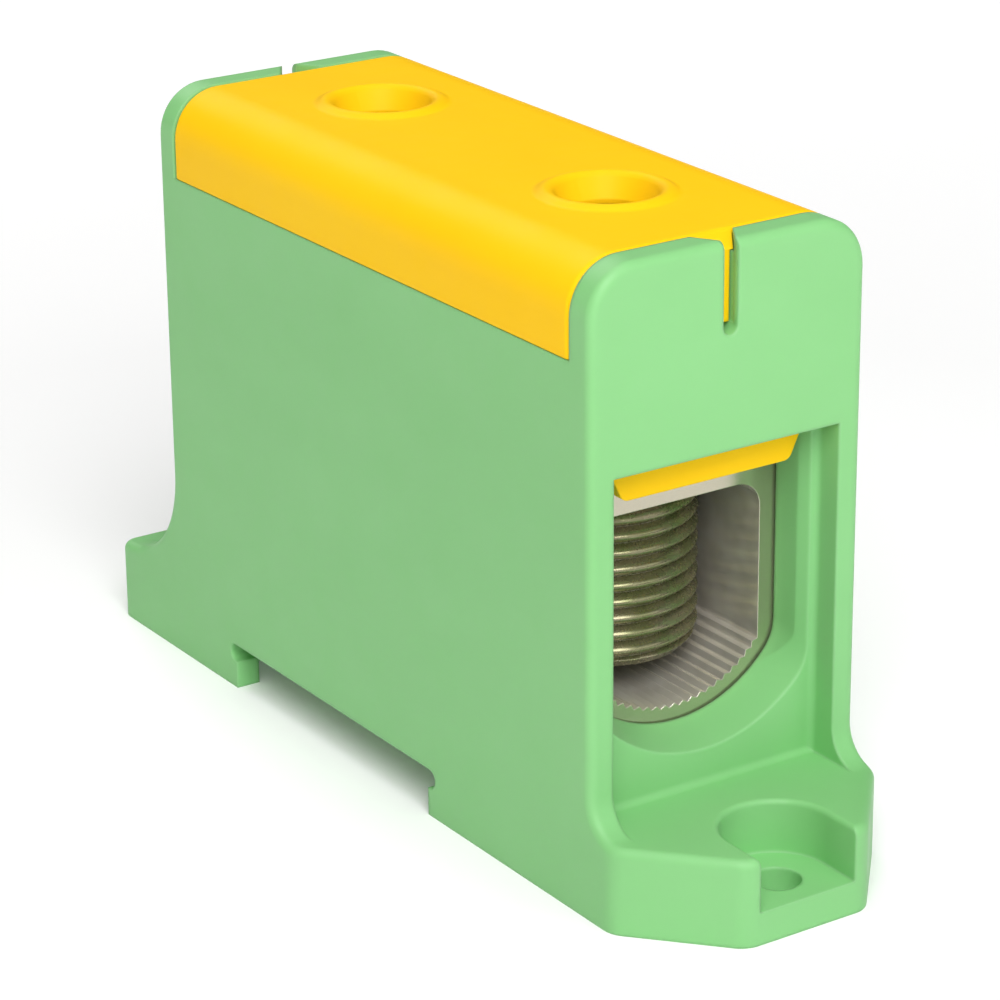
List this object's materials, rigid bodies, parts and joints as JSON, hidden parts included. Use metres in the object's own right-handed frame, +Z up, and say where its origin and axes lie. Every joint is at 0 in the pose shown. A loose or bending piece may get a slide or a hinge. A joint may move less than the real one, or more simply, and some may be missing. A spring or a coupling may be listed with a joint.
{
  "type": "earth terminal block",
  "caption": "Earth terminal block with a green housing, a clip-in yellow cover and a metal body whose clamp screws bear down in a long conductor bore.",
  "frame": {"origin": "on the mounting surface under the middle of the block", "axes": "+X across the block, +Y along the conductors towards the square foot at the rear, +Z up from the mounting surface"},
  "size_m": [0.028, 0.0932, 0.0574],
  "materials": {
    "green_plastic": "satin moulded",
    "yellow_plastic": "satin moulded",
    "terminal_metal": "tin plated, satin",
    "plated_steel": "zinc plated"
  },
  "bodies": {
    "block": {"housing": "green_plastic", "cover": "yellow_plastic", "terminal_body": "terminal_metal"},
    "front_screw": {"front_clamp_screw": "plated_steel"},
    "rear_screw": {"rear_clamp_screw": "plated_steel"}
  },
  "joints": [
    {"name": "front_screw_travel", "type": "slide", "parent": "block", "child": "front_screw", "axis": [0, 0, 1], "range_m": [0, 0.0158]},
    {"name": "rear_screw_travel", "type": "slide", "parent": "block", "child": "rear_screw", "axis": [0, 0, 1], "range_m": [0, 0.0158]}
  ]
}
